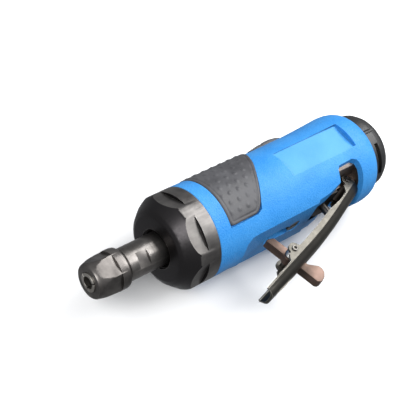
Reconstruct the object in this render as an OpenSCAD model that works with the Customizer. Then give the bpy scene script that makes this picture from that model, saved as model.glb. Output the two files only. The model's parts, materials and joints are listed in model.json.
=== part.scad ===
// Pneumatic die grinder with a 6 mm collet, a composite grip and a throttle lever with a safety latch.
// The spindle axis is X. The collet mouth is at the origin and points to -X, the air inlet points to +X.
// The throttle lever hangs on the -Y side, the palm pad is on the +Y side, and XY is a mirror plane.

/* [Collet and nut] */
// Bore of the collet, for a 6 mm shank
collet_bore_d = 6; // [3:0.1:6]
// Length of the collet
collet_len = 24; // [20:1:26]
// Width across the flats of the collet nut
nut_af = 17; // [16.6:0.1:17.6]
// Length of the collet nut
nut_len = 16.9; // [16.5:0.1:17.3]

/* [Spindle] */
// Diameter of the collet body behind the nut
spindle_d = 16; // [15.6:0.1:16.4]
// Width across the two flats of the collet body
spindle_af = 14; // [13:0.5:14.5]

/* [Clamp nut] */
// Diameter of the clamp nut
clamp_nut_d = 46; // [45:0.5:46]
// Distance across the six wrench pockets of the clamp nut
clamp_nut_af = 42.5; // [42:0.1:43]
// Front face of the clamp nut
clamp_nut_front = 38; // [37:0.5:39]

/* [Composite shell] */
// Front edge of the shell
shell_front = 57; // [56.8:0.1:57.2]
// Rear edge of the shell
shell_rear = 162.3; // [162:0.1:162.5]
// Radius of the shell at its waist
waist_r = 22.3; // [22:0.1:22.6]
// Largest radius of the shell, at its rear swell
swell_r = 23.8; // [23.4:0.1:24]
// Distance of the lever flat from the axis
flat_y = 20.3; // [20.2:0.1:20.6]

/* [Grip pads] */
// Front edge of the two side pads
pad_front = 65; // [64.5:0.5:66]
// Outside radius of the two side pads
pad_r = 23.5; // [23.3:0.1:23.8]

/* [Throttle] */
// Width of the throttle lever over its flanges
lever_w = 17; // [16.5:0.5:18]
// Sheet thickness of the throttle lever
lever_t = 1.4; // [1.2:0.1:1.6]
// Thickness of the safety latch
latch_t = 5; // [4:0.5:5]

/* [Air motor] */
// Radius of the rotor
rotor_r = 11.7; // [11:0.1:11.7]
// Number of vanes
vane_count = 5; // [4:1:5]

/* [Exhaust] */
// Rear face of the exhaust deflector
deflector_end = 176.3; // [176:0.1:176.5]
// Radius of the inlet thread's minor diameter, for a quarter inch fitting
inlet_thread_r = 5.72; // [5.5:0.01:5.8]

/* [Hidden] */
$fn = 72;
eps = 0.01;
// Clearance all round a running fit
run = 0.05;
// Gap between neighbouring parts that don't run on each other
gap = 0.2;

// Stations along the axis
motor_case_front = 50.6;
front_plate_x0 = 51.2;
front_plate_x1 = 63;
cylinder_x1 = 95;
rear_plate_x1 = 104.4;
bulkhead_x = 104.8;
block_x0 = 118.4;
case_rear = 158;

// Radii of the motor case, of the block behind it and of the motor inside
case_r = 17.5;
case_bore_r = 15.6;
block_r = 20;
motor_r = 15.5;
cylinder_bore_r = rotor_r + 1.2;
cylinder_offset = 1.1;
front_journal_r = 5;
rear_journal_r = 4;

// Ball bearings: 26 x 10 x 8 in front and 22 x 8 x 7 behind
front_brg = [13, 5, 8, 2.38];
rear_brg = [11, 4, 7, 1.98];
front_brg_x = 51.8;
rear_brg_x = 96.4;
// Front face of the snap ring behind the rear bearing
ring_x = 103.5;
front_balls = 7;
rear_balls = 7;

// The lever's pivot, the latch's pin and the line of the lever's web
pivot = [146.3, -14.7];
pin = [93.6, -32.9];
lever_a = [147.2, -18.3];
lever_b = [118, -30.2];
lever_c = [70, -43.2];
rear_slope = atan2(lever_a[1] - lever_b[1], lever_a[0] - lever_b[0]);
front_slope = atan2(lever_b[1] - lever_c[1], lever_b[0] - lever_c[0]);
flange_h = 3.1;
crown_r = 11;
crown_c = 7;
ear_r = 2.9;
lever_pin_r = 1.6;
latch_pin_r = 1.5;
latch_lean = 17;

// Throttle valve and regulator
valve_x = 130;
valve_bore_r = 4.5;
stem_r = 2;
stem_tip = -27.6;
regulator_x = 108;
regulator_r = 3.6;

// Shell details
flat_x0 = 76;
window_x0 = 119.3;
arch_x1 = 150.6;
label_x0 = 109.3;
label_x1 = 152;
label_half = 7.7;
label_dist = 21.2;
label_angle = 5;
latch_slot = [88.8, 104.4, 3.3];

// Rod along X from x0 to x1, with radius r0 at x0 and r1 at x1
module rod(x0, x1, r0, r1 = -1) {
    translate([x0, 0, 0]) rotate([0, 90, 0]) cylinder(h = x1 - x0, r1 = r0, r2 = r1 < 0 ? r0 : r1);
}

// Tube along X
module tube(x0, x1, outer, inner) {
    difference() {
        rod(x0, x1, outer);
        rod(x0 - 1, x1 + 1, inner);
    }
}

// Solid turned about X from a list of [x, r] points
module turned(points) {
    rotate([0, 90, 0]) rotate([0, 0, 180]) rotate_extrude() polygon([for (p = points) [p[1], p[0]]]);
}

// O-ring about X
module o_ring(x, r, wire) {
    translate([x, 0, 0]) rotate([0, 90, 0]) rotate_extrude() translate([r, 0]) circle(r = wire, $fn = 24);
}

// Prism along Z over an outline in XY
module along_z(half) {
    translate([0, 0, -half]) linear_extrude(2 * half) children();
}

// Pin along Z at a point of XY
module z_pin(at, r, half) {
    translate([at[0], at[1], -half]) cylinder(h = 2 * half, r = r);
}

// Pin along Y at station x, from y0 to y1
module y_pin(x, y0, y1, r) {
    translate([x, y0, 0]) rotate([-90, 0, 0]) cylinder(h = y1 - y0, r = r);
}

// ---- Collet, nut and spindle ----

module collet() {
    slits = 3;
    slit_w = 0.5;
    slit_len = 18;
    color("#8d8a84") difference() {
        turned([[0, 0], [0, 4.6], [1.6, 4.6], [4.2, 5.9], [5.4, 5.9],
            [collet_len, 4.4], [collet_len, 0]]);
        rod(-1, collet_len + 1, collet_bore_d / 2);
        for (i = [0 : slits - 1])
            rotate([i * 360 / slits + 15, 0, 0]) translate([-1, 0, -slit_w / 2]) cube([slit_len, 10, slit_w]);
    }
}

module collet_nut() {
    front = 0.6;
    rear = front + nut_len;
    flat_end = 12.4;
    color("#9c968c") difference() {
        turned([[front, 0], [front, 7.8], [1.2, 8.3], [5, 9.3], [10, 9.75], [15.8, 9.75],
            [16.9, 9.5], [rear, 9.0], [rear, 0]]);
        turned([[front - 1, 0], [front - 1, 4.8], [1.7, 4.8], [4.3, 6.1], [5.8, 6.1], [5.8, 7.05],
            [rear + 1, 7.05], [rear + 1, 0]]);
        for (i = [0 : 5])
            rotate([i * 60 + 39, 0, 0]) translate([-1, nut_af / 2, -6]) cube([flat_end + 1, 5, 12]);
    }
}

module collet_body() {
    neck_x = 18.1;
    flat_x0 = 23;
    flat_x1 = 29;
    rear = 45.6;
    color("#8b867d") difference() {
        turned([[6.4, 0], [6.4, 6.6], [6.8, 7], [17.2, 7], [17.2, 6.5], [neck_x, 6.5], [neck_x, 7.6],
            [18.5, spindle_d / 2], [rear, spindle_d / 2], [rear, 0]]);
        turned([[6, 0], [6, 6.0], [collet_len + 0.3, 4.5], [collet_len + 0.3, 3.4], [36.2, 3.4],
            [36.2, front_journal_r + run], [rear + 1, front_journal_r + run], [rear + 1, 0]]);
        for (s = [0, 180])
            rotate([s + 121, 0, 0]) translate([flat_x0, spindle_af / 2, -8])
                cube([flat_x1 - flat_x0, 4, 16]);
    }
}

// ---- Air motor ----

module rotor() {
    slot_w = 1.7;
    slot_floor = 6.2;
    color("#a5a29c") difference() {
        turned([[36.6, 0], [36.6, front_journal_r - 0.4], [37, front_journal_r],
            [front_plate_x1 + 0.3, front_journal_r], [front_plate_x1 + 0.3, rotor_r],
            [cylinder_x1 - 0.3, rotor_r], [cylinder_x1 - 0.3, rear_journal_r],
            [ring_x - 0.04, rear_journal_r], [ring_x - 0.04, 3.5], [ring_x + 0.64, 3.5],
            [ring_x + 0.64, rear_journal_r], [104.5, rear_journal_r], [104.5, 0]]);
        for (i = [0 : vane_count - 1])
            rotate([i * 360 / vane_count, 0, 0])
                translate([front_plate_x1, slot_floor, -slot_w / 2])
                    cube([cylinder_x1 - front_plate_x1, rotor_r, slot_w]);
    }
}

module rotor_vanes() {
    vane_t = 1.5;
    color("#6b4a2c") for (i = [0 : vane_count - 1])
        rotate([i * 360 / vane_count, 0, 0])
            translate([front_plate_x1 + 0.4, 6.4, -vane_t / 2])
                cube([cylinder_x1 - front_plate_x1 - 0.8, rotor_r - 6.5, vane_t]);
}

module rotor_spacer() {
    color("#a5a29c") tube(45.8, front_brg_x - eps, 7.1, front_journal_r + run);
}

// The four pieces of a ball bearing. b holds the outer radius, bore radius, width and ball radius
function pitch_r(b) = (b[0] + b[1]) / 2;
module race_outer(x, b) {
    difference() {
        tube(x, x + b[2], b[0], pitch_r(b) + b[3] * 0.7);
        groove(x, b);
    }
}
module race_inner(x, b) {
    difference() {
        tube(x, x + b[2], pitch_r(b) - b[3] * 0.7, b[1] + run);
        groove(x, b);
    }
}
module groove(x, b) {
    translate([x + b[2] / 2, 0, 0]) rotate([0, 90, 0]) rotate_extrude()
        translate([pitch_r(b), 0]) circle(r = b[3] + 0.08);
}
module balls(x, b, count) {
    for (i = [0 : count - 1])
        rotate([i * 360 / count, 0, 0]) translate([x + b[2] / 2, pitch_r(b), 0]) sphere(r = b[3]);
}
module cage(x, b, count) {
    mid = x + b[2] / 2;
    difference() {
        tube(mid - b[3] * 1.25, mid + b[3] * 1.25, pitch_r(b) + 0.6, pitch_r(b) - 0.6);
        for (i = [0 : count - 1])
            rotate([i * 360 / count, 0, 0]) translate([mid, pitch_r(b) - 2, 0]) rotate([-90, 0, 0])
                cylinder(h = 4, r = b[3] + 0.1);
    }
}

module front_bearing_outer() { color("#c4c4c4") race_outer(front_brg_x, front_brg); }
module front_bearing_inner() { color("#c4c4c4") race_inner(front_brg_x, front_brg); }
module front_bearing_balls() { color("#d8d8d8") balls(front_brg_x, front_brg, front_balls); }
module front_bearing_cage() { color("#b08d57") cage(front_brg_x, front_brg, front_balls); }
module rear_bearing_outer() { color("#c4c4c4") race_outer(rear_brg_x, rear_brg); }
module rear_bearing_inner() { color("#c4c4c4") race_inner(rear_brg_x, rear_brg); }
module rear_bearing_balls() { color("#d8d8d8") balls(rear_brg_x, rear_brg, rear_balls); }
module rear_bearing_cage() { color("#b08d57") cage(rear_brg_x, rear_brg, rear_balls); }

module front_bearing_shield() {
    color("#3a3a3a") tube(50.7, front_brg_x - gap / 2, 12.6, 7.6);
}

module front_end_plate() {
    color("#9aa0a4") difference() {
        rod(front_plate_x0, front_plate_x1, motor_r);
        rod(front_plate_x0 - 1, front_brg_x + front_brg[2] + 0.05, front_brg[0] + 0.02);
        rod(front_plate_x0, front_plate_x1 + 1, front_journal_r + 0.4);
        dowel_hole();
    }
}

module rear_end_plate() {
    color("#9aa0a4") difference() {
        rod(cylinder_x1 + 0.05, rear_plate_x1, motor_r);
        rod(rear_brg_x - 0.05, rear_plate_x1 + 1, rear_brg[0] + 0.02);
        rod(cylinder_x1, rear_plate_x1, rear_journal_r + 0.4);
        dowel_hole();
        // Air feed slot into the cylinder
        translate([cylinder_x1 - 1, -3, 11.3]) cube([12, 6, 1.8]);
    }
}

module motor_cylinder() {
    color("#b9bcbe") difference() {
        rod(front_plate_x1 + 0.05, cylinder_x1, motor_r);
        translate([0, cylinder_offset, 0]) rod(front_plate_x1 - 1, cylinder_x1 + 1, cylinder_bore_r);
        dowel_hole();
        // Exhaust ports through the thick side of the wall
        for (i = [0 : 3]) translate([70 + i * 6, 8, -16]) cylinder(h = 8, r = 1.5);
    }
}

// One dowel keys the two end plates to the cylinder
module dowel_hole() {
    translate([0, -14.2, 0]) rod(front_plate_x1 - 5, cylinder_x1 + 5, 0.78);
}
module cylinder_dowel() {
    color("#c4c4c4") translate([0, -14.2, 0]) rod(front_plate_x1 - 4.8, cylinder_x1 + 4.8, 0.75);
}

module rotor_snap_ring() {
    color("#3a3a3a") difference() {
        tube(ring_x, ring_x + 0.6, 5.2, 3.52);
        translate([102, 2, -1.4]) cube([3, 6, 2.8]);
    }
}

// ---- Motor housing with the valve block ----

module motor_housing() {
    color("#8f7f76") difference() {
        union() {
            rod(motor_case_front, block_x0, case_r);
            rod(block_x0, case_rear, block_r);
        }
        rod(motor_case_front - 1, bulkhead_x, case_bore_r);
        // Inlet chamber with the seat of the inlet bushing
        rod(134, case_rear + 1, 5.5);
        rod(146, case_rear + 1, 8.03);
        // Valve bore and the way to the motor, past the regulator
        y_pin(valve_x, -block_r - 1, 6, valve_bore_r);
        rod(valve_x, 136, 2.6);
        translate([0, -7.5, 0]) rod(bulkhead_x - 1, valve_x, 2.2);
        y_pin(regulator_x, -case_r - 1, -4, 3.02);
        // Four exhaust ways to the rear
        for (s = [-1, 1]) for (y = [6.5, 12.5])
            translate([0, y, s * (y < 10 ? 12.6 : 7)]) rod(bulkhead_x - 1, case_rear + 1, 2.4);
        // Recess under the boot and the room beside the lever lug
        translate([block_x0 - 1, -block_r - 2, -15]) cube([19.4, 5.8, 30]);
        for (s = [0, 1]) mirror([0, 0, s]) translate([137.6, -block_r - 2, 5.5]) cube([15, 10.3, 20]);
        translate([136.4, -block_r - 2, -12]) cube([5.4, 6.5, 24]);
        difference() {
            translate([141.6, -block_r - 2, -6]) cube([11, 6.5, 12]);
            z_pin(pivot, 3.3, 7);
        }
        z_pin(pivot, lever_pin_r + 0.02, 30);
    }
}

// ---- Clamp nut ----

module clamp_nut() {
    r = clamp_nut_d / 2;
    pocket_end = 50;
    color("#3b3b3d") difference() {
        turned([[clamp_nut_front, 0], [clamp_nut_front, 15.5], [clamp_nut_front + 1.6, 18.5],
            [clamp_nut_front + 6.4, r - 0.6], [clamp_nut_front + 7.6, r], [shell_front - 0.1, r],
            [shell_front - 0.1, 0]]);
        turned([[30, 0], [30, 9.8], [clamp_nut_front + 1, 9.8],
            [clamp_nut_front + 1.4, 9.3], [clamp_nut_front + 6, 9.3], [clamp_nut_front + 6, 13.4],
            [motor_case_front - 0.3, 13.4], [motor_case_front - 0.3, case_r + 0.03],
            [shell_front + 1, case_r + 0.03], [shell_front + 1, 0]]);
        for (i = [0 : 5])
            rotate([i * 60 + 57, 0, 0]) translate([30, clamp_nut_af / 2, -12])
                cube([pocket_end - 30, 8, 24]);
    }
}

module front_dust_seal() {
    color("#2b2b2b") tube(clamp_nut_front + 6.2, clamp_nut_front + 8.2, 13.2, spindle_d / 2 + 0.1);
}

module clamp_nut_seal() {
    color("#1f1f1f") tube(motor_case_front - 0.28, motor_case_front - 0.02, 17.2, 13.6);
}

// ---- Composite shell and grip pads ----

// Outside of the shell: a turned body with a waist and a rear swell, and a belly on the lever side
module shell_body() {
    turned([[shell_front, 0], [shell_front, 22.7], [shell_front + 0.4, 23], [66.5, 22.9], [84, waist_r + 0.2],
        [104, waist_r], [130, waist_r + 0.2], [142, 23.0], [150, 23.5], [155, swell_r],
        [158, swell_r - 0.1], [160.4, 23.3], [161.6, 22.9], [shell_rear, 22.3], [shell_rear, 0]]);
    translate([0, -1.4, 0]) turned([[64, 0], [64, 21.2], [80, 22.7], [140, 22.9], [154, 21.6], [154, 0]]);
}

// Planar recess on one side of the shell
module label_recess() {
    rotate([-label_angle, 0, 0]) translate([label_x0, -label_half, label_dist])
        cube([label_x1 - label_x0, 2 * label_half, 8]);
}

module composite_shell() {
    color("#3a9cf0") difference() {
        shell_body();
        rod(shell_front - 1, block_x0 - 0.4, case_r + gap);
        rod(block_x0 - 0.5, shell_rear + 1, block_r + 0.3);
        // Flat under the lever, with a ramp at its front end
        along_z(30) polygon([[flat_x0, -flat_y], [flat_x0 - 3.2, -flat_y - 1.2], [flat_x0 - 6, -flat_y - 4.5],
            [flat_x0 - 6, -40], [arch_x1, -40], [arch_x1, -flat_y]]);
        // Window over the valve, rising into the arch over the lever lug
        along_z(30) polygon([[window_x0, -40], [window_x0, -19.5], [126.8, -18.9], [130.9, -18.0],
            [134.4, -17.2], [135.2, -12.2], [136.6, -10.6], [146, -10.3], [148.6, -11.6],
            [149.9, -14], [arch_x1, -18], [arch_x1, -40]]);
        // Slot that the latch swings through
        translate([latch_slot[0], -40, -latch_slot[2]])
            cube([latch_slot[1] - latch_slot[0], 30, 2 * latch_slot[2]]);
        y_pin(regulator_x, -40, -10, regulator_r + 0.25);
        for (s = [0, 1]) mirror([0, 0, s]) {
            label_recess();
            pad_region(0.1);
        }
        palm_region(0.1);
    }
}

// Room of a side pad: a sleeve trimmed by its front, rear, lower and upper edges
module pad_region(grow) {
    floor_r = 21.8 - grow;
    intersection() {
        tube(pad_front - grow, 110, 40, floor_r);
        // Rear edge, which leans back towards the palm
        along_z(60) polygon([[40, -13.6 - grow], [81.2 + grow, -13.6 - grow], [84.2 + grow, -12.4],
            [85.4 + grow, -9.6], [90.6 + grow, 0], [96.4 + grow, 9.6], [101.8 + grow, 18.4],
            [103 + grow, 22.4 + grow], [40, 22.4 + grow]]);
        translate([40, -40, 2 - grow]) cube([80, 80, 60]);
    }
}

module side_pad() {
    color("#4a4a4c") intersection() {
        pad_region(0);
        turned([[pad_front - 1, 0], [pad_front - 1, pad_r - 0.5], [pad_front + 0.8, pad_r - 0.05],
            [72, pad_r], [90, pad_r - 0.3], [110, pad_r - 0.3], [110, 0]]);
    }
}
module left_grip_pad() { side_pad(); }
module right_grip_pad() { mirror([0, 0, 1]) side_pad(); }

// The palm pad sits in the spine of the shell and rises in two steps
module palm_region(grow) {
    half = 7 + grow;
    intersection() {
        tube(109 - grow, 133 + grow, 40, 21 - grow);
        translate([100, 10, -half]) cube([40, 40, 2 * half]);
    }
}
module palm_pad() {
    color("#4a4a4c") intersection() {
        palm_region(0);
        turned([[108, 0], [108, 22.2], [109.6, 22.8], [114, 23.5], [119.4, 23.9], [120, 24.2], [123, 24.5],
            [126.5, 24.5], [129.5, 24.0], [132, 23.1], [133.4, 22.5], [134, 0]]);
    }
}

// ---- Throttle lever and safety latch ----

// Outline of the pressed channel: h upwards from the web's corner, z to the side, and a crowned web
function crown_h(z, radius) = crown_c - sqrt(radius * radius - z * z);
module channel_outline(half, radius, top) {
    steps = 10;
    polygon(concat([[top, half], [top, -half]],
        [for (i = [0 : steps]) let (z = -half + 2 * half * i / steps) [crown_h(z, radius), z]]));
}

// Straight stretch of channel from point p, going len towards the free end at a slope
module channel(p, slope, len, half, radius, top) {
    translate([p[0], p[1], 0]) rotate([0, 0, slope]) rotate([0, -90, 0]) rotate([0, 0, 90])
        linear_extrude(len) channel_outline(half, radius, top);
}

module lever_channel(half, radius, top, extra) {
    rear_len = norm(lever_a - lever_b);
    front_len = norm(lever_b - lever_c);
    channel(lever_a + extra * [cos(rear_slope), sin(rear_slope)], rear_slope, rear_len + extra + 0.4,
        half, radius, top);
    channel(lever_b + 0.4 * [cos(front_slope), sin(front_slope)], front_slope, front_len + extra + 0.4,
        half, radius, top);
}

// Side plates: the ear round the pivot with its neck, and the lug round the latch pin
module lever_sides() {
    inner = lever_w / 2 - lever_t;
    neck = [[145.4, -20.2], [133, -24.6], [135.4, -22.0], [140.4, -19.7], [143.6, -15.6], [149, -15.8],
        [147.4, -18.6]];
    lug = [[102.4, -33.6], [97.2, -30.6], [94.6, -29.5], [92.2, -29.8], [90.3, -31.4], [87.6, -36.8]];
    for (s = [0, 1]) mirror([0, 0, s]) translate([0, 0, inner]) {
        linear_extrude(lever_t) polygon(neck);
        linear_extrude(lever_t) polygon(lug);
        translate([pivot[0], pivot[1], 0]) cylinder(h = lever_t, r = ear_r);
    }
}

module throttle_lever() {
    half = lever_w / 2;
    color("#8c8b85") difference() {
        union() {
            difference() {
                lever_channel(half, crown_r, flange_h, 0);
                lever_channel(half - lever_t, crown_r - lever_t, 12, 3);
            }
            lever_sides();
        }
        // Slot for the latch
        translate([74.6, -60, -latch_t / 2 - 0.6]) cube([26.2, 32, latch_t + 1.2]);
        z_pin(pivot, lever_pin_r + run, 20);
        z_pin(pin, latch_pin_r + 0.02, 20);
    }
}

module lever_pin() {
    color("#55534f") difference() {
        z_pin(pivot, lever_pin_r, 9.2);
        z_pin(pivot, 0.8, 12);
    }
}

// The latch is drawn upright at the origin, inner end up, and leans forward by latch_lean
module safety_latch() {
    outline = [[-2.1, 0], [-2.0, 12.7], [-1.2, 12.8], [1.2, 11.6], [2, 11], [2.3, 0], [2.3, -9],
        [5.6, -13.4], [5.8, -15.6], [4.6, -17.6], [2.6, -18.8], [0.2, -19.2], [-1.4, -18.7],
        [-2.2, -17.6], [-2.2, -9]];
    color("#8a7a72") translate([pin[0], pin[1], 0]) rotate([0, 0, latch_lean]) difference() {
        union() {
            along_z(latch_t / 2) polygon(outline);
            z_pin([0, 0], 3, latch_t / 2);
        }
        z_pin([0, 0], latch_pin_r + run, latch_t);
    }
}

module latch_pin() {
    color("#c9c8c4") difference() {
        z_pin(pin, latch_pin_r, 9.2);
        z_pin(pin, 0.7, 12);
    }
}

module latch_spring() {
    wire = 0.4;
    turns = 4;
    color("#b5b5b5") for (i = [0 : turns - 1])
        translate([pin[0], pin[1], 3.2 + i * 0.85]) rotate_extrude() translate([2.2, 0]) circle(r = wire, $fn = 16);
}

// ---- Throttle valve and regulator ----

module valve_stem() {
    color("#a8a49c") union() {
        y_pin(valve_x, stem_tip + stem_r, 0.6, stem_r);
        y_pin(valve_x, -1.4, 0.6, 3.6);
        translate([valve_x, stem_tip + stem_r, 0]) sphere(r = stem_r);
    }
}

module valve_bushing() {
    color("#b08d57") difference() {
        y_pin(valve_x, -15.9, -10.4, valve_bore_r - 0.02);
        y_pin(valve_x, -17, -9, stem_r + run);
        y_pin(valve_x, -12.2, -9, 3.1);
    }
}

module stem_seal() {
    color("#1f1f1f") translate([valve_x, -11.4, 0]) rotate([-90, 0, 0]) rotate_extrude()
        translate([2.62, 0]) circle(r = 0.45, $fn = 24);
}

module valve_seat() {
    color("#b08d57") difference() {
        y_pin(valve_x, -3.4, -1.6, valve_bore_r - 0.02);
        y_pin(valve_x, -5, 0, 2.7);
    }
}

module valve_spring() {
    turns = 4;
    color("#b5b5b5") for (i = [0 : turns - 1])
        translate([valve_x, 1.1 + i * 1.3, 0]) rotate([-90, 0, 0]) rotate_extrude()
            translate([2.9, 0]) circle(r = 0.4, $fn = 16);
}

// Rubber boot that closes the block under the lever
module throttle_boot() {
    color("#1d1d1f") difference() {
        translate([block_x0 + 1.2, -18.1, -9]) cube([16.4, 1.6, 18]);
        y_pin(valve_x, -30, 0, stem_r + 0.3);
    }
}

module regulator_screw() {
    color("#8f8a82") difference() {
        union() {
            y_pin(regulator_x, -20.0, -18.0, regulator_r);
            y_pin(regulator_x, -18.4, -5, 2.95);
        }
        translate([regulator_x - 5, -21, -0.6]) cube([10, 1.8, 1.2]);
        translate([regulator_x - 5, -9.4, -4]) cube([10, 3.8, 5.6]);
    }
}

module regulator_seal() {
    color("#1f1f1f") translate([regulator_x, -17.75, 0]) rotate([-90, 0, 0]) rotate_extrude()
        translate([3.25, 0]) circle(r = 0.22, $fn = 24);
}

// ---- Air inlet and exhaust ----

module inlet_bushing() {
    rear = deflector_end + 0.5;
    color("#b3b1ab") difference() {
        union() {
            rod(146.2, 160, 8);
            rod(160, 174, 8.6);
            intersection() {
                rod(173.9, rear, 9.4);
                translate([173.9, 0, 0]) rotate([0, 90, 0]) cylinder(h = 10, r = 9.8, $fn = 6);
            }
        }
        rod(rear - 13, rear + 1, inlet_thread_r);
        rod(145, rear - 13 + 0.1, 5.2);
    }
}

module inlet_seal() {
    color("#1f1f1f") o_ring(159.2, 9.0, 0.7);
}

module inlet_screen() {
    color("#c9b98a") difference() {
        rod(158, 158.8, 5.15);
        for (i = [0 : 5]) rotate([i * 60, 0, 0]) translate([0, 3, 0]) rod(157, 160, 0.9);
        rod(157, 160, 0.9);
    }
}

module exhaust_deflector() {
    front = 161.2;
    slot_span = 48;
    slot_from = [113, -161];
    color("#2c2c2e") difference() {
        turned([[front, 0], [front, 19.9], [168.6, 19.9], [171.6, 19.3], [174.2, 17.8],
            [deflector_end - 0.5, 15.6], [deflector_end, 14.8], [deflector_end, 0]]);
        turned([[front - 1, 0], [front - 1, 17.7], [172.2, 17.7], [172.2, 9.9],
            [deflector_end + 1, 9.9], [deflector_end + 1, 0]]);
        // Long exhaust slots on both sides of the wall
        for (from = slot_from) rotate([from + 90, 0, 0]) rotate([0, 90, 0])
            rotate_extrude(angle = slot_span) translate([17, 166.2]) square([4, 2.4]);
        // Finger grooves along the wall
        for (i = [0 : 3])
            rotate([i * 90 + 2, 0, 0]) translate([0, 20.3, 0]) rod(163.4, 175, 1.1);
    }
}

module deflector_seal() {
    color("#1f1f1f") o_ring(164.5, 9.3, 0.6);
}

module muffler_ring() {
    color("#d6d2c4") tube(164.2, 171.9, 16.9, 10.4);
}

module deflector_snap_ring() {
    color("#3a3a3a") difference() {
        tube(172.5, 173.2, 9.7, 8.65);
        translate([172, 6, -1.6]) cube([2, 6, 3.2]);
    }
}

collet();
collet_nut();
collet_body();
rotor();
rotor_vanes();
rotor_spacer();
front_bearing_outer();
front_bearing_inner();
front_bearing_balls();
front_bearing_cage();
front_bearing_shield();
front_end_plate();
motor_cylinder();
cylinder_dowel();
rear_end_plate();
rear_bearing_outer();
rear_bearing_inner();
rear_bearing_balls();
rear_bearing_cage();
rotor_snap_ring();
motor_housing();
clamp_nut();
front_dust_seal();
clamp_nut_seal();
composite_shell();
left_grip_pad();
right_grip_pad();
palm_pad();
throttle_lever();
lever_pin();
safety_latch();
latch_pin();
latch_spring();
valve_stem();
stem_seal();
valve_bushing();
valve_seat();
valve_spring();
throttle_boot();
regulator_screw();
regulator_seal();
inlet_bushing();
inlet_seal();
inlet_screen();
exhaust_deflector();
deflector_seal();
muffler_ring();
deflector_snap_ring();
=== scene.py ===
"""Looks of a pneumatic die grinder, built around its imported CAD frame.

The spindle axis is X, with the collet at the origin and the air inlet at +X. The lever hangs on the -Y side,
and the palm pad is on the +Y side. The scene is in metres, and what is in millimetres says so.
"""

import json
import math

import bpy
import numpy as np
from mathutils import Matrix, Vector


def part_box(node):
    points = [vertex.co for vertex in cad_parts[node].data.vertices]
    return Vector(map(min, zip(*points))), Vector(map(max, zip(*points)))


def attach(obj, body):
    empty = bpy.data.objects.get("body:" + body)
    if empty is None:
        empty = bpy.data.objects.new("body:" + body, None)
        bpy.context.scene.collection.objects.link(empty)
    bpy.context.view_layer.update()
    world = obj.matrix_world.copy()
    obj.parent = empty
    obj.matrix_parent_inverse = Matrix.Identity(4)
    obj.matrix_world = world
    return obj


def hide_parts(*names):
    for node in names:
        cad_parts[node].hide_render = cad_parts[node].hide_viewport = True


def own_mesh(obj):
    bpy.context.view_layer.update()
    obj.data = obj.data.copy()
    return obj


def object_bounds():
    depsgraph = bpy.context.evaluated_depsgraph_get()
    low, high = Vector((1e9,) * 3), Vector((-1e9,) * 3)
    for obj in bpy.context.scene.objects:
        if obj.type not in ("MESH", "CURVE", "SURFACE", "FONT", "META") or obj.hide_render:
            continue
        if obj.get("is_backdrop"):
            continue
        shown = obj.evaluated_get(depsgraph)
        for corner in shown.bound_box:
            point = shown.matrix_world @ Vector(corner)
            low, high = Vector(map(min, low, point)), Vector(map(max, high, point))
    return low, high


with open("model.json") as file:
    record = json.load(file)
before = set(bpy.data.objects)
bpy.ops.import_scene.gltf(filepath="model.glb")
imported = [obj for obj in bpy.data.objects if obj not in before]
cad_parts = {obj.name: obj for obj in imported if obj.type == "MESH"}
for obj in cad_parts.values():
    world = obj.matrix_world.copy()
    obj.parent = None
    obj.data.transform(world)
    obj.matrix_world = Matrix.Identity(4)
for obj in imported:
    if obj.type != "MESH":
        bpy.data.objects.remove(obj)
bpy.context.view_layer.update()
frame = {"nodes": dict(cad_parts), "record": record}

MM = 0.001
NODES = frame["nodes"]


# ---- Node materials ----


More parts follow.
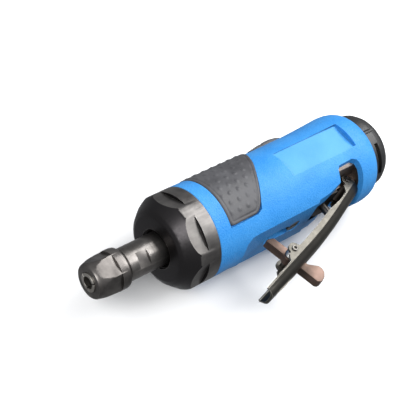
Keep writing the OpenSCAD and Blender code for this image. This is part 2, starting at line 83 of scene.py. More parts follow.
class Finish:
    """A procedural material, with short calls for the nodes that the finishes share."""

    def __init__(self, name):
        self.material = bpy.data.materials.new(name)
        self.material.use_nodes = True
        self.tree = self.material.node_tree
        self.shader = self.tree.nodes["Principled BSDF"]
        self.place = self.add("ShaderNodeTexCoord").outputs["Object"]

    def add(self, kind, inputs=(), **settings):
        node = self.tree.nodes.new(kind)
        for name, value in settings.items():
            setattr(node, name, value)
        for key, value in dict(inputs).items():
            self.put(node.inputs[key], value)
        return node

    def put(self, socket, value):
        if isinstance(value, bpy.types.NodeSocket):
            self.tree.links.new(value, socket)
        else:
            socket.default_value = value

    def set(self, **values):
        """Sets sockets of the shader, such as Base_Color, to a value or another node's socket."""
        for name, value in values.items():
            self.put(self.shader.inputs[name.replace("_", " ")], value)

    def stretched(self, stretch):
        mapping = self.add("ShaderNodeMapping", {"Vector": self.place, "Scale": stretch})
        return mapping.outputs["Vector"]

    def noise(self, scale, detail=3.0, stretch=(1, 1, 1), rough=0.55):
        node = self.add("ShaderNodeTexNoise", {"Vector": self.stretched(stretch), "Scale": scale,
                                               "Detail": detail, "Roughness": rough})
        return node.outputs["Fac"]

    def cells(self, scale):
        node = self.add("ShaderNodeTexVoronoi", {"Vector": self.place, "Scale": scale})
        return node.outputs["Distance"]

    def span(self, value, low, high, out_low=0.0, out_high=1.0):
        node = self.add("ShaderNodeMapRange", {"Value": value, "From Min": low, "From Max": high,
                                               "To Min": out_low, "To Max": out_high})
        return node.outputs["Result"]

    def mix(self, factor, one, other):
        node = self.add("ShaderNodeMix", data_type="RGBA")
        self.put(node.inputs[0], factor)
        self.put(node.inputs[6], one)
        self.put(node.inputs[7], other)
        return node.outputs[2]

    def math(self, operation, one, other=0.0):
        node = self.add("ShaderNodeMath", operation=operation)
        self.put(node.inputs[0], one)
        self.put(node.inputs[1], other)
        return node.outputs[0]

    def times(self, first, *others):
        """The product of numbers or sockets."""
        product = first
        for other in others:
            product = self.math("MULTIPLY", product, other)
        return product

    def window(self, value, low, high, fade_in, fade_out):
        """1 between low and high, with a fade inside each end."""
        return self.times(self.span(value, low, low + fade_in), self.span(value, high, high - fade_out))

    def edges(self, radius, gain):
        """1 along the edges of the shape, 0 on its faces."""
        rounded = self.add("ShaderNodeBevel", {"Radius": radius}, samples=6).outputs["Normal"]
        true = self.add("ShaderNodeNewGeometry").outputs["Normal"]
        dot = self.add("ShaderNodeVectorMath", {0: rounded, 1: true}, operation="DOT_PRODUCT")
        bend = self.math("SUBTRACT", 1.0, dot.outputs["Value"])
        return self.span(bend, 0.01, 1.0 / gain)

    def bump(self, height, depth, after=None):
        """Relief of a height map, depth metres deep."""
        node = self.add("ShaderNodeBump", {"Height": height, "Distance": depth, "Strength": 1.0})
        if after is not None:
            self.put(node.inputs["Normal"], after)
        return node.outputs["Normal"]


def rgb(code):
    """A linear colour from a six digit sRGB code."""
    parts = [int(code[i:i + 2], 16) / 255 for i in (0, 2, 4)]
    return tuple(((c + 0.055) / 1.055) ** 2.4 if c > 0.04 else c / 12.92 for c in parts) + (1.0,)


def relit(colour, gain, lift=0.0):
    """A colour scaled and lifted, with an alpha of 1."""
    return tuple(min(1.0, c * gain + lift) for c in colour[:3]) + (1.0,)


def turned_metal(name, colour, dark, rough, rings=900.0, edge_gain=2.5, metallic=1.0):
    """Metal from a lathe: fine rings round X, a soft stain, and edges painted paler, partly rubbed bare and
    partly a painted highlight.
    """
    f = Finish(name)
    stain = f.span(f.noise(90.0, 4.0), 0.35, 0.7)
    ring = f.noise(1.0, 2.0, (rings, 40.0, 40.0))
    base = f.mix(stain, colour, dark)
    # Edges painted paler: partly rubbed bare metal, partly a painted highlight
    rubbed_and_lit_edge = f.times(f.edges(0.35 * MM, edge_gain), f.span(f.noise(500.0), 0.35, 0.6))
    bright = relit(colour, 1.5, 0.08)
    f.set(Base_Color=f.mix(rubbed_and_lit_edge, base, bright), Metallic=metallic,
          Roughness=f.math("ADD", f.span(ring, 0.3, 0.7, rough - 0.05, rough + 0.07),
                           f.times(stain, 0.08)),
          Normal=f.bump(ring, 0.012 * MM))
    return f.material


def rubber(name, colour, rough=0.5):
    """Moulded rubber: matt, with a fine grain and a chalky bloom in places."""
    f = Finish(name)
    cloud = f.span(f.noise(140.0, 4.0), 0.35, 0.7)
    light = relit(colour, 1.45, 0.01)
    # Edges painted paler: partly rubbed, partly a painted highlight
    rubbed_and_lit_edge = f.edges(0.3 * MM, 2.0)
    grain = f.noise(2600.0, 2.0)
    f.set(Base_Color=f.mix(rubbed_and_lit_edge, f.mix(cloud, colour, light), light), Specular_IOR_Level=0.35,
          Roughness=f.span(cloud, 0.0, 1.0, rough, rough + 0.16), Normal=f.bump(grain, 0.03 * MM))
    return f.material


def plastic(name, colour, light, rough, grain_depth):
    """Moulded plastic with a fine spark-eroded grain."""
    f = Finish(name)
    cloud = f.span(f.noise(60.0, 3.0), 0.3, 0.7)
    grain = f.noise(2400.0, 3.0, rough=0.65)
    coarse = f.noise(900.0, 2.0)
    # Edges painted paler: partly rubbed, partly a painted highlight
    rubbed_and_lit_edge = f.times(f.edges(0.4 * MM, 2.0), 0.5)
    base = f.mix(f.times(cloud, 0.35), colour, light)
    speck = f.span(grain, 0.42, 0.62, 0.0, 0.10)
    f.set(Base_Color=f.mix(rubbed_and_lit_edge, f.mix(speck, base, light), light),
          Roughness=f.span(grain, 0.3, 0.7, rough - 0.06, rough + 0.08),
          Normal=f.bump(coarse, grain_depth * 0.7, f.bump(grain, grain_depth)))
    return f.material


def oxide_steel(name, black, brushed, rough):
    """Blacked steel, with the faces that run along the axis brushed bare."""
    f = Finish(name)
    facing = f.add("ShaderNodeSeparateXYZ", {"Vector": f.add("ShaderNodeTexCoord").outputs["Normal"]})
    side = f.span(f.math("ABSOLUTE", facing.outputs["X"]), 0.30, 0.12)
    grain = f.noise(1.0, 3.0, (160.0, 2200.0, 2200.0))
    cloud = f.span(f.noise(120.0, 4.0), 0.3, 0.7)
    bare = f.mix(f.times(cloud, 0.6), brushed, black)
    # Edges painted paler steel: partly rubbed bare, partly a painted highlight
    rubbed_and_lit_edge = f.times(f.edges(0.45 * MM, 3.0), f.span(f.noise(420.0), 0.3, 0.55))
    bright = relit(brushed, 1.3, 0.1)
    f.set(Base_Color=f.mix(rubbed_and_lit_edge, f.mix(f.times(side, 0.75), black, bare), bright), Metallic=1.0,
          Roughness=f.math("ADD", f.span(grain, 0.3, 0.7, rough - 0.06, rough + 0.1),
                           f.times(side, 0.06)),
          Normal=f.bump(grain, 0.010 * MM))
    return f.material


def pressed_steel(name, side, web):
    """Pressed sheet, with painted light: side plates painted paler and the web darker by which way they
    face, a painted shade line in the fold, and cut edges that are rubbed and also painted pale as a
    highlight.
    """
    f = Finish(name)
    facing = f.add("ShaderNodeSeparateXYZ", {"Vector": f.add("ShaderNodeTexCoord").outputs["Normal"]})
    flat = f.math("ABSOLUTE", facing.outputs["Z"])
    # Painted shade: a dark line along the bend between the side plates and the web
    fold = f.times(f.span(flat, 0.30, 0.55), f.span(flat, 0.97, 0.85))
    stain = f.span(f.noise(130.0, 4.0), 0.3, 0.7)
    grain = f.noise(1500.0, 3.0, (0.4, 1, 1))
    # Painted light: side plates facing Z are painted paler and the web darker, though all of it is one steel
    base = f.mix(f.span(flat, 0.5, 0.9), web, side)
    base = f.mix(f.times(stain, 0.45), base, rgb("3a3834"))
    # The painted shade in the bend, toward 1d1c1b
    base = f.mix(f.times(fold, 0.7), base, rgb("1d1c1b"))
    # Cut edges painted pale: partly rubbed, partly a painted highlight
    rubbed_and_lit_edge = f.times(f.edges(0.3 * MM, 8.0), f.span(f.noise(400.0), 0.25, 0.5))
    f.set(Base_Color=f.mix(rubbed_and_lit_edge, base, rgb("c9c5bd")), Metallic=0.8,
          Roughness=f.span(grain, 0.3, 0.7, 0.36, 0.5), Normal=f.bump(grain, 0.02 * MM))
    return f.material


LABEL_X = (0.109, 0.152)
LABEL_ANGLE = math.radians(5.0)
LABEL_HALF = 0.0077


def label_masks(f):
    """1 on the label's flat, and 1 on the thin line along its upper border, where a shadow is painted."""
    at = f.add("ShaderNodeSeparateXYZ", {"Vector": f.place}).outputs
    across = f.math("SUBTRACT", f.times(at["Y"], math.cos(LABEL_ANGLE)),
                    f.times(at["Z"], math.sin(LABEL_ANGLE)))
    near_side = f.span(at["Z"], 0.0, 1.0 * MM)
    inside = f.span(f.math("ABSOLUTE", across), LABEL_HALF, LABEL_HALF - 0.1 * MM)
    flat = f.times(inside, f.window(at["X"], *LABEL_X, 0.1 * MM, 0.1 * MM), near_side)
    off_border = f.math("ABSOLUTE", f.math("SUBTRACT", across, LABEL_HALF))
    # The line of painted shadow along the flat's upper border
    line = f.span(off_border, 0.34 * MM, 0.12 * MM)
    border = f.times(line, near_side, f.window(at["X"], *LABEL_X, 1.0 * MM, 0.3 * MM))
    return flat, border


def shell_plastic(name, colour, light):
    """Blue moulded shell: leather grain all over, but smooth on the label's flat, which is painted paler as
    a sheen, with a painted shadow line along its upper border.
    """
    f = Finish(name)
    cloud = f.span(f.noise(60.0, 3.0), 0.3, 0.7)
    fine = f.noise(2300.0, 3.0, rough=0.65)
    coarse = f.cells(1250.0)
    label, border = label_masks(f)
    grainy = f.math("SUBTRACT", 1.0, f.times(label, 0.8))
    # Edges painted paler: partly rubbed, partly a painted highlight
    rubbed_and_lit_edge = f.times(f.edges(0.5 * MM, 2.0), 0.45)
    speck = f.times(f.span(fine, 0.42, 0.62, 0.0, 0.22), grainy)
    base = f.mix(f.times(cloud, 0.2), colour, light)
    # Painted sheen: the label's flat is mixed a fifth of the way to the paler blue
    tinted = f.mix(f.times(label, 0.2), f.mix(speck, base, light), light)
    # Painted shadow: the line along the label flat's upper border is darkened
    tinted = f.mix(f.times(border, 0.75), tinted, relit(colour, 0.35))
    f.set(Base_Color=f.mix(rubbed_and_lit_edge, tinted, light), Specular_IOR_Level=0.22,
          Roughness=f.math("ADD", 0.36, f.times(f.span(fine, 0.3, 0.7, 0.0, 0.16), grainy)),
          Normal=f.bump(f.times(coarse, grainy), 0.13 * MM, f.bump(f.times(fine, grainy), 0.09 * MM)))
    return f.material


FINISHES = {
    "spindle_steel": turned_metal("spindle_steel", rgb("8b8784"), rgb("5b5855"), 0.3),
    "motor_steel": turned_metal("motor_steel", rgb("b0aea8"), rgb("8c8984"), 0.28),
    "vane_fibre": plastic("vane_fibre", rgb("6b4a2c"), rgb("8b6a48"), 0.6, 0.02 * MM),
    "bearing_steel": turned_metal("bearing_steel", rgb("d0d0d0"), rgb("b8b8b8"), 0.12),
    "brass": turned_metal("brass", rgb("c09a5c"), rgb("8f6c38"), 0.28),
    "black_oxide_steel": oxide_steel("black_oxide_steel", rgb("3a3839"), rgb("85827f"), 0.34),
    "motor_iron": turned_metal("motor_iron", rgb("a5a7a9"), rgb("77787a"), 0.4),
    "case_metal": turned_metal("case_metal", rgb("a0968f"), rgb("6b605a"), 0.42),
    "seal_rubber": rubber("seal_rubber", rgb("0d0d0e")),
    "blue_composite": shell_plastic("blue_composite", rgb("1b78c4"), rgb("6cbcf6")),
    "pad_rubber": rubber("pad_rubber", rgb("404043"), 0.4),
    # The paler side plate colour and the darker web colour are painted light on one steel
    "lever_steel": pressed_steel("lever_steel", rgb("69665f"), rgb("504d47")),
    "pin_steel": turned_metal("pin_steel", rgb("6f6c68"), rgb("3f3c3a"), 0.3),
    "latch_steel": turned_metal("latch_steel", rgb("6f5b52"), rgb("41362f"), 0.42,
                                rings=260.0, edge_gain=8.0, metallic=0.8),
    "spring_steel": turned_metal("spring_steel", rgb("b5b5b5"), rgb("8b8b8b"), 0.25),
    "inlet_steel": turned_metal("inlet_steel", rgb("b9b7b1"), rgb("8f8c86"), 0.3),
    "deflector_plastic": plastic("deflector_plastic", rgb("121213"), rgb("252427"), 0.42, 0.03 * MM),
    "muffler_felt": rubber("muffler_felt", rgb("b8b2a2")),
}

# Single nodes that look different from the rest of their slot
SPECIAL = {
    "collet": turned_metal("collet_ring", rgb("b9b5ae"), rgb("8d8982"), 0.3),
    "collet_nut": turned_metal("nut_steel", rgb("787471"), rgb("4e4b49"), 0.34),
}


# The record's material slot of each CAD node
SLOT_OF = {part["node"]: part["material_slot"] for part in frame["record"]["subparts"]}

# Softened edges in millimetres, where they are not EDGE_DEFAULT
EDGE_DEFAULT = 0.2
EDGE_WIDTH = {"safety_latch": 0.45, "composite_shell": 0.3, "clamp_nut": 0.16}
SHARP_ANGLE = math.radians(32)
WELD_DISTANCE = 0.002 * MM


def soften_edges(piece, name, width, sharp_angle):
    """Rounds the edges that are sharper than an angle, by a width in millimetres."""
    bevel = piece.modifiers.new(name, "BEVEL")
    bevel.width = width * MM
    bevel.segments = 2
    bevel.limit_method = "ANGLE"
    bevel.angle_limit = sharp_angle


def dress_cad_nodes():
    """Gives every CAD node its finish and softened edges."""
    for name, node in NODES.items():
        node.data.materials.clear()
        node.data.materials.append(SPECIAL.get(name) or FINISHES[SLOT_OF[name]])
        weld = node.modifiers.new("weld", "WELD")
        weld.merge_threshold = WELD_DISTANCE
        soften_edges(node, "edges", EDGE_WIDTH.get(name, EDGE_DEFAULT), SHARP_ANGLE)
        smooth = node.modifiers.new("normals", "WEIGHTED_NORMAL")
        smooth.keep_sharp = True
        for face in node.data.polygons:
            face.use_smooth = True


# ---- Meshes ----


def make_piece(name, points, faces, finish, body, *replaced):
    """A mesh object in the row frame that rides on a body and stands for CAD nodes."""
    mesh = bpy.data.meshes.new(name)
    mesh.from_pydata([tuple(p) for p in points], [], faces)
    mesh.validate()
    for face in mesh.polygons:
        face.use_smooth = True
    mesh.materials.append(FINISHES[finish])
    piece = bpy.data.objects.new(name, mesh)
    bpy.context.scene.collection.objects.link(piece)
    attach(piece, body)
    if replaced:
        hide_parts(*replaced)
    return piece


def bent(start, corner, end, t):
    """The point at t, from 0 to 1, on the curve that rounds a corner."""
    return start * (1 - t) ** 2 + corner * 2 * t * (1 - t) + end * t * t


def run_along(points):
    """Distance along a path at each of its points."""
    return np.concatenate([[0], np.cumsum(np.linalg.norm(np.diff(points, axis=0), axis=1))])


def points_at(stations, run, points):
    """The points of a flat path at some distances along it."""
    return np.stack([np.interp(stations, run, points[:, k]) for k in (0, 1)], axis=1)


CORNER_PARTS = 6
CORNER_SHARE = 0.45


def rounded_outline(corners, radius, step):
    """A closed outline with its corners rounded, as evenly spaced points about step apart."""
    path = []
    count = len(corners)
    for i in range(count):
        before, here, after = (Vector(corners[(i + k) % count]) for k in (-1, 0, 1))
        to_before = before - here
        to_after = after - here
        reach = min(radius, to_before.length * CORNER_SHARE, to_after.length * CORNER_SHARE)
        start = here + to_before.normalized() * reach
        end = here + to_after.normalized() * reach
        for k in range(CORNER_PARTS + 1):
            path.append(bent(start, here, end, k / CORNER_PARTS))
    points = np.array([tuple(p) for p in path + path[:1]])
    run = run_along(points)
    return points_at(np.linspace(0, run[-1], int(run[-1] / step) + 1)[:-1], run, points)


def distance_to(points, outline):
    """Distance from each point to a closed outline."""
    best = np.full(len(points), np.inf)
    for start, end in zip(outline, np.roll(outline, -1, axis=0)):
        edge = end - start
        t = np.clip(((points - start) @ edge) / max(edge @ edge, 1e-12), 0, 1)
        best = np.minimum(best, np.linalg.norm(points - start - t[:, None] * edge, axis=1))
    return best


def ring_points(outline, shares):
    """Rings that shrink from an outline towards its centre by the given shares, and the centre."""
    centre = outline.mean(axis=0)
    rings = [centre + (outline - centre) * share for share in shares]
    return np.concatenate(rings + [centre[None, :]])


def band_faces(first, second, count):
    """Faces between two rings of count points, from their first points."""
    faces = []
    for i in range(count):
        j = (i + 1) % count
        faces.append((first + i, first + j, second + j, second + i))
    return faces


def disc_faces(first, count, rings):
    """Faces between nested rings of count points, closed by a fan round the point after them."""
    faces = []
    for k in range(rings - 1):
        faces += band_faces(first + k * count, first + (k + 1) * count, count)
    last = first + (rings - 1) * count
    tip = last + count
    return faces + [(last + i, last + (i + 1) % count, tip) for i in range(count)]


def flipped(faces):
    return [face[::-1] for face in faces]


# Rings of a pad's underside, and the close rings next to the border of its top
UNDER_SHARES = (1.0, 0.75, 0.5, 0.25)
BORDER_SHARES = (1.0, 0.992, 0.98, 0.965, 0.95, 0.935, 0.92, 0.905, 0.885)
FIELD_SHARE = 0.865


def top_shares(field_rings):
    """Rings that lie close together by the border and further apart inside it."""
    return BORDER_SHARES + tuple(np.linspace(FIELD_SHARE, 0.0, field_rings)[:-1])


def sleeve_patch(outline, shares, radius_at, floor_r, wrap):
    """A closed pad that wraps round the X axis, as points in metres and faces.

    outline holds points (x, arc) in millimetres on the developed sleeve, and shares the rings that fill it.
    radius_at gives the top's radius from (x, arc) and the inset. wrap puts (x, arc, r) into the row frame.
    """
    flat = ring_points(outline, shares)
    top = wrap(flat, radius_at(flat, distance_to(flat, outline)))
    under_flat = ring_points(outline, UNDER_SHARES)
    under = wrap(under_flat, np.full(len(under_flat), floor_r))
    count = len(outline)
    low = len(flat)
    faces = disc_faces(0, count, len(shares))
    faces += flipped(disc_faces(low, count, len(UNDER_SHARES)))
    faces += flipped(band_faces(0, low, count))
    return np.concatenate([top, under]) * MM, faces


def smooth_step(value, low, high):
    """0 below low, 1 above high, and a smooth rise between them."""
    t = np.clip((value - low) / (high - low), 0, 1)
    return t * t * (3 - 2 * t)


def rolled_edge(inset, width):
    """A quarter-round rise, from 0 at the border to 1 at width inside it."""
    return np.sqrt(np.clip(1 - (1 - np.clip(inset / width, 0, 1)) ** 2, 0, 1))


# ---- Rubber pads, in millimetres ----

# The radius on which the pads' outlines are developed
SLEEVE_R = 23.0


def arc_at(offset, face_r):
    """Arc on the developed sleeve of a point that is offset from the pad's middle plane."""
    return SLEEVE_R * math.asin(offset / face_r)


def wrap_side(sign):
    """Arc 0 lies at +Z or -Z and grows towards +Y."""
    def wrap(flat, r):
        angle = flat[:, 1] / SLEEVE_R
        return np.stack([flat[:, 0], r * np.sin(angle), sign * r * np.cos(angle)], axis=1)
    return wrap


def wrap_spine(flat, r):
    """Arc 0 lies at +Y and grows towards +Z."""
    angle = flat[:, 1] / SLEEVE_R
    return np.stack([flat[:, 0], r * np.cos(angle), r * np.sin(angle)], axis=1)


GRIP_UNDER_R = 21.85
GRIP_BORDER_R = 22.44
GRIP_RISE = 0.75
GRIP_ROLL = 0.8
GRIP_FACE_R = 23.4
GRIP_CORNER = 2.4
GRIP_STEP = 0.62
GRIP_SHRINK = 0.003
GRIP_FIELD_RINGS = 38
GROOVE_INSET = 1.75
GROOVE_WIDTH = 0.3
GROOVE_DEPTH = 0.2
PEBBLE_PITCH_X = 5.2
PEBBLE_PITCH_ARC = 4.3
PEBBLE_R = 1.2
PEBBLE_HEIGHT = 0.3
PEBBLE_POWER = 0.8
PEBBLE_INSET = (2.2, 3.0)


def side_pad_radius(flat, inset):
    """Rolled edge, thin groove inside it, and a field of domes in staggered rows."""
    edge = GRIP_BORDER_R + GRIP_RISE * rolled_edge(inset, GRIP_ROLL)
    groove = GROOVE_DEPTH * np.exp(-((inset - GROOVE_INSET) / GROOVE_WIDTH) ** 2)
    row = np.round(flat[:, 1] / PEBBLE_PITCH_ARC)
    shift = np.where(row % 2 == 0, 0.0, PEBBLE_PITCH_X / 2)
    near_x = np.round((flat[:, 0] - shift) / PEBBLE_PITCH_X) * PEBBLE_PITCH_X + shift
    away = np.hypot(flat[:, 0] - near_x, flat[:, 1] - row * PEBBLE_PITCH_ARC)
    dome = PEBBLE_HEIGHT * np.clip(1 - (away / PEBBLE_R) ** 2, 0, 1) ** PEBBLE_POWER
    return edge - groove + dome * smooth_step(inset, *PEBBLE_INSET)


def grip_outline():
    """The grip pad's border: square in front, with a rear edge that slants forwards as it goes down."""
    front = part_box("left_grip_pad")[0].x / MM
    low = arc_at(-13.6, GRIP_FACE_R)
    high = arc_at(22.4, GRIP_FACE_R)
    corners = [(front, low), (82.0, low), (85.0, arc_at(-10.6, GRIP_FACE_R)), (90.6, 0.0),
               (96.4, arc_at(9.6, GRIP_FACE_R)), (101.8, arc_at(18.4, GRIP_FACE_R)), (102.9, high),
               (front, high)]
    outline = rounded_outline(corners, GRIP_CORNER, GRIP_STEP)
    return outline + (outline.mean(axis=0) - outline) * GRIP_SHRINK


def grip_pads():
    """The pebbled pad on each side of the grip."""
    outline = grip_outline()
    shares = top_shares(GRIP_FIELD_RINGS)
    for sign, name in ((1, "left_grip_pad"), (-1, "right_grip_pad")):
        points, faces = sleeve_patch(outline, shares, side_pad_radius, GRIP_UNDER_R, wrap_side(sign))
        # Both pads wind alike, with their faces turned inwards, as on the palm pad
        if sign > 0:
            faces = flipped(faces)
        pad = make_piece(name + "_rubber", points, faces, "pad_rubber", "housing", name)


# Radius of the palm pad's humps against x
PALM_X = (109.0, 115.0, 118.4, 119.3, 120.6, 125.0, 129.5, 133.0)
PALM_RADIUS = (22.8, 23.7, 24.1, 23.8, 24.3, 24.6, 24.0, 22.7)
PALM_UNDER_R = 21.1
PALM_BORDER_R = 21.9
PALM_ROLL = 1.6
PALM_FACE_R = 23.6
PALM_CORNER = 2.5
PALM_STEP = 0.4
PALM_GAP_X = 0.1
PALM_GAP_Z = 0.15
PALM_FIELD_RINGS = 26
PALM_GROOVES_X = (114.2, 124.6)
PALM_GROOVE_DEPTH = 0.25
PALM_GROOVE_WIDTH = 0.5
PALM_GROOVE_INSET = (0.8, 1.8)


def palm_pad_radius(flat, inset):
    """Two stepped humps with a notch between them, and a rolled edge."""
    hump = np.interp(flat[:, 0], PALM_X, PALM_RADIUS)
    for groove_x in PALM_GROOVES_X:
        groove = PALM_GROOVE_DEPTH * np.exp(-((flat[:, 0] - groove_x) / PALM_GROOVE_WIDTH) ** 2)
        hump -= groove * smooth_step(inset, *PALM_GROOVE_INSET)
    return PALM_BORDER_R + (hump - PALM_BORDER_R) * rolled_edge(inset, PALM_ROLL)


def palm_pad():
    """The humped pad along the top of the grip."""
    low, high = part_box("palm_pad")
    arc = arc_at(high.z / MM - PALM_GAP_Z, PALM_FACE_R)
    front = low.x / MM + PALM_GAP_X
    rear = high.x / MM - PALM_GAP_X
    corners = [(front, -arc), (rear, -arc), (rear, arc), (front, arc)]
    outline = rounded_outline(corners, PALM_CORNER, PALM_STEP)
    points, faces = sleeve_patch(outline, top_shares(PALM_FIELD_RINGS), palm_pad_radius, PALM_UNDER_R,
                                 wrap_spine)
    pad = make_piece("palm_pad_rubber", points, faces, "pad_rubber", "housing", "palm_pad")


# ---- Lever, in millimetres ----

# The lever is a pressed channel. Its side plates are high round the pivot and round the latch pin.
LEVER_PIVOT = (146.3, -14.7)
LATCH_PIN = (93.6, -32.9)
EAR_R = 2.95
LATCH_EAR_R = 3.1
WEB_CORNERS = [(149.2, -17.5), (118.0, -30.2), (69.6, -43.3)]
WEB_BLEND = 16.0
WEB_BLEND_POINTS = 40
LEVER_STATIONS = 200
LEVER_HALF = 8.5
LEVER_CORNER_R = 0.5
LEVER_CROWN = 4.0
LEVER_SHEET = 1.25
LEVER_RIM = 0.22
LEVER_SHARP_ANGLE = math.radians(50)
SLOT_HALF = 3.1
SLOT_X = (75.4, 100.6)
WALL_PARTS = 4
BEND_PARTS = 5
WEB_PARTS = 6
WEB_MIDDLE_Z = (1.5, 0.0, -1.5)

# The free end is narrower and flatter than the rest
TIP_NARROWING = 0.26
TIP_NARROW_X = (70.0, 90.0)
TIP_FLATTENING = 0.12
TIP_FLAT_X = (69.0, 84.0)

# Height of the side plates over the web's corner line, against x
PLATE_X = (69.6, 79.0, 87.6, 90.4, 97.0, 98.6, 126.0, 134.3, 139.1, 140.8, 143.6, 149.2)
PLATE_HEIGHT = (0.6, 0.7, 1.2, 3.9, 3.9, 3.1, 3.0, 1.5, 0.7, 1.1, 3.9, 1.0)


def lever_line(count):
    """Stations along the web's corner line, from the pivot to the free end, and the way up at each."""
    rear, bend, front = (np.array(p) for p in WEB_CORNERS)
    start = bend + (rear - bend) / np.linalg.norm(rear - bend) * WEB_BLEND
    end = bend + (front - bend) / np.linalg.norm(front - bend) * WEB_BLEND
    curve = bent(start, bend, end, np.linspace(0, 1, WEB_BLEND_POINTS)[:, None])
    path = np.concatenate([[rear], curve, [front]])
    run = run_along(path)
    points = points_at(np.linspace(0, run[-1], count), run, path)
    along = np.gradient(points, axis=0)
    along /= np.linalg.norm(along, axis=1)[:, None]
    return points, np.stack([along[:, 1], -along[:, 0]], axis=1)


def side_height(points, up):
    """Height of the side plates at each station, with a round ear at the pivot and at the latch pin."""
    height = np.interp(points[:, 0], PLATE_X, PLATE_HEIGHT)
    for centre, r in ((LEVER_PIVOT, EAR_R), (LATCH_PIN, LATCH_EAR_R)):
        offset = np.array(centre) - points
        side = np.cross(up, offset)
        dome = np.sum(offset * up, axis=1) + np.sqrt(np.clip(r * r - side * side, 0, None))
        height = np.where(np.abs(side) < r, np.maximum(height, dome), height)
    return height


def sheet_metal(outer, inward, faces, thickness):
    """Points in metres and faces of a sheet from its outer side, with the rim closed all round."""
    count = len(outer)
    inner = [tuple(p + n * thickness for p, n in zip(point, way)) for point, way in zip(outer, inward)]
    edges = {}
    for face in faces:
        for a, b in zip(face, face[1:] + face[:1]):
            edges[(a, b)] = (b, a) not in edges
            if not edges[(a, b)]:
                edges[(b, a)] = False
    rim = [(b, a, a + count, b + count) for (a, b), free in edges.items() if free]
    under = [tuple(i + count for i in face[::-1]) for face in faces]
    return [tuple(c * MM for c in point) for point in outer + inner], faces + under + rim


def web_point(z, flat, arch):
    """A point of the crowned web as (y, z, inward y, inward z), where flat is the web's half width."""
    return -arch * (1 - (z / flat) ** 4), z, 1.0, 0.0


def lever_section(height, half, arch):
    """Half the lever's section, in web_point's form: side plate, corner, then web as far as the slot."""
    low = min(LEVER_CORNER_R, height)
    section = []
    for k in range(WALL_PARTS):
        section.append((height - (height - low) * k / WALL_PARTS, half, 0.0, -1.0))
    for k in range(BEND_PARTS):
        turn = k / BEND_PARTS * math.pi / 2
        section.append((low * (1 - math.sin(turn)), half - LEVER_CORNER_R * (1 - math.cos(turn)),
                        math.sin(turn), -math.cos(turn)))
    flat = half - LEVER_CORNER_R
    for k in range(WEB_PARTS + 1):
        section.append(web_point(flat + (SLOT_HALF - flat) * k / WEB_PARTS, flat, arch))
    return section


def whole_section(height, half, arch):
    """The lever's section from the top of one side plate to the top of the other."""
    side = lever_section(height, half, arch)
    middle = [web_point(z, half - LEVER_CORNER_R, arch) for z in WEB_MIDDLE_Z]
    return side + middle + [(y, -z, ny, -nz) for y, z, ny, nz in side[::-1]]


def lever_faces(points, wide):
    """Faces between the stations' sections of wide points, left out over the latch's slot."""
    side = WALL_PARTS + BEND_PARTS + WEB_PARTS
    faces = []
    for i in range(len(points) - 1):
        slotted = SLOT_X[0] < points[i][0] < SLOT_X[1]
        for k in range(wide - 1):
            if not slotted or not side <= k < wide - 1 - side:
                here = i * wide + k
                faces.append((here, here + wide, here + wide + 1, here + 1))
    return faces


def throttle_lever():
    """The pressed lever, with a slot for the latch in its crowned web."""
    points, up = lever_line(LEVER_STATIONS)
    height = side_height(points, up)
    half = LEVER_HALF * (1 - TIP_NARROWING * (1 - smooth_step(points[:, 0], *TIP_NARROW_X)))
    arch = LEVER_CROWN * (1 - TIP_FLATTENING + TIP_FLATTENING * smooth_step(points[:, 0], *TIP_FLAT_X))
    outer, inward = [], []
    for p, u, h, w, a in zip(points, up, height, half, arch):
        section = whole_section(h, w, a)
        for y, z, ny, nz in section:
            outer.append((p[0] + u[0] * y, p[1] + u[1] * y, z))
            inward.append((u[0] * ny, u[1] * ny, nz))
    faces = lever_faces(points, len(section))
    lever = make_piece("lever_pressing", *sheet_metal(outer, inward, faces, LEVER_SHEET), "lever_steel",
                       "throttle_lever", "throttle_lever")
    soften_edges(lever, "rim", LEVER_RIM, LEVER_SHARP_ANGLE)


# ---- Valve spring, in metres ----

WIRE_R = 0.38 * MM
WIRE_PARTS = 10
COIL_GAP = 0.02 * MM
COIL_TURNS = 4.5
COIL_PARTS = 180
COIL_EASE = 0.2


def coil_points(middle, coil_r, bottom, top):
    """Points round a wire that winds about Y, with closer turns at its ends."""
    points = []
    for i in range(COIL_PARTS + 1):
        t = i / COIL_PARTS
        turn = t * COIL_TURNS * 2 * math.pi
        out = Vector((math.cos(turn), 0, math.sin(turn)))
        share = smooth_step(t, 0.0, 1.0) * COIL_EASE + t * (1 - COIL_EASE)
        centre = Vector((middle.x, bottom + (top - bottom) * share, middle.z)) + out * coil_r
        for k in range(WIRE_PARTS):
            a = 2 * math.pi * k / WIRE_PARTS
            points.append(centre + out * WIRE_R * math.cos(a) + Vector((0, WIRE_R * math.sin(a), 0)))
    return points


def coil_faces():
    """The wire's side, then its two ends."""
    faces = []
    for i in range(COIL_PARTS):
        for k in range(WIRE_PARTS):
            a = i * WIRE_PARTS + k
            b = i * WIRE_PARTS + (k + 1) % WIRE_PARTS
            faces.append((a, a + WIRE_PARTS, b + WIRE_PARTS, b))
    last = COIL_PARTS * WIRE_PARTS
    return faces + [tuple(range(WIRE_PARTS)), tuple(range(last, last + WIRE_PARTS))[::-1]]


def valve_spring():
    """Compression spring above the throttle valve, drawn at one length. The real one shortens as the stem
    goes in.
    """
    low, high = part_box("valve_spring")
    middle = (low + high) / 2
    margin = WIRE_R + COIL_GAP
    points = coil_points(middle, (high.x - low.x) / 2 - margin, low.y + margin, high.y - margin)
    coil = make_piece("valve_return_spring", points, coil_faces(), "spring_steel", "housing", "valve_spring")
    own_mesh(coil)


# ---- Studio, in metres ----

FLOOR_HALF = 3.0
AIM = (0.09, -0.005, 0.0)
CAMERA_PLACE = (-0.2135, -0.1490, 0.3997)
LENS = 99.0


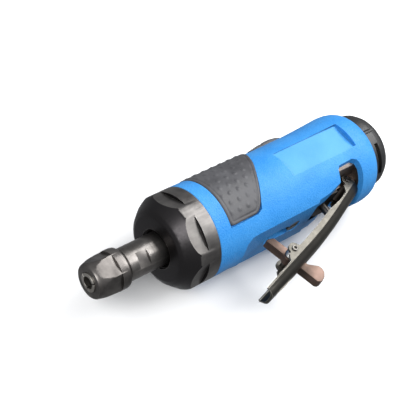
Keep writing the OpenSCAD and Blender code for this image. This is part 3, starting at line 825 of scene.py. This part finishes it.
def floor():
    """A white floor under the tool, left out of reflections and of bounced light."""
    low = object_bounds()[0].z
    mesh = bpy.data.meshes.new("floor")
    mesh.from_pydata([(-FLOOR_HALF, -FLOOR_HALF, low), (FLOOR_HALF, -FLOOR_HALF, low),
                      (FLOOR_HALF, FLOOR_HALF, low), (-FLOOR_HALF, FLOOR_HALF, low)],
                     [], [(0, 1, 2, 3)])
    ground = bpy.data.objects.new("floor", mesh)
    bpy.context.scene.collection.objects.link(ground)
    f = Finish("floor_paint")
    tone = f.span(f.noise(6.0, 2.0), 0.3, 0.7)
    f.set(Base_Color=f.mix(tone, (0.86, 0.86, 0.86, 1), (0.9, 0.9, 0.9, 1)), Roughness=0.9)
    mesh.materials.append(f.material)
    ground.visible_glossy = False
    ground.visible_diffuse = False
    ground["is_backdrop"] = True


def softbox(name, towards, distance, width, height, power):
    """A rectangular area light that lies in a direction from AIM and faces it."""
    data = bpy.data.lights.new(name, "AREA")
    data.shape = "RECTANGLE"
    data.size = width
    data.size_y = height
    data.energy = power
    lamp = bpy.data.objects.new(name, data)
    direction = Vector(towards).normalized()
    lamp.location = Vector(AIM) + direction * distance
    lamp.rotation_mode = "QUATERNION"
    lamp.rotation_quaternion = direction.to_track_quat("Z", "Y")
    bpy.context.scene.collection.objects.link(lamp)


def sky(above, below, colour):
    """Background light that is strong overhead and weak from underneath."""
    world = bpy.data.worlds.new("studio")
    world.use_nodes = True
    nodes, links = world.node_tree.nodes, world.node_tree.links
    place = nodes.new("ShaderNodeTexCoord")
    split = nodes.new("ShaderNodeSeparateXYZ")
    ramp = nodes.new("ShaderNodeMapRange")
    for name, value in (("From Min", -0.1), ("From Max", 0.75), ("To Min", below), ("To Max", above)):
        ramp.inputs[name].default_value = value
    links.new(place.outputs["Generated"], split.inputs["Vector"])
    links.new(split.outputs["Z"], ramp.inputs["Value"])
    links.new(ramp.outputs["Result"], nodes["Background"].inputs["Strength"])
    nodes["Background"].inputs["Color"].default_value = colour
    bpy.context.scene.world = world


def lights():
    sky(above=0.62, below=0.34, colour=(0.95, 0.97, 1.0, 1))
    softbox("key", towards=(0.6, 0.0, 0.75), distance=0.7, width=0.75, height=0.42, power=7.4)
    softbox("fill", towards=(-0.75, -0.1, 0.65), distance=0.8, width=0.4, height=0.5, power=4.0)
    bpy.context.scene.view_settings.view_transform = "Standard"


def camera():
    data = bpy.data.cameras.new("camera")
    data.sensor_width = 36.0
    data.lens = LENS
    cam = bpy.data.objects.new("camera", data)
    right = Vector((0.75215, -0.58415, 0.30500))
    up = Vector((0.35554, 0.74942, 0.55853))
    back = Vector((-0.55484, -0.31166, 0.77137))
    turn = Matrix((right, up, back)).transposed().to_4x4()
    cam.matrix_world = Matrix.Translation(CAMERA_PLACE) @ turn
    bpy.context.scene.collection.objects.link(cam)
    bpy.context.scene.camera = cam


dress_cad_nodes()
grip_pads()
palm_pad()
throttle_lever()
valve_spring()
floor()
lights()
camera()
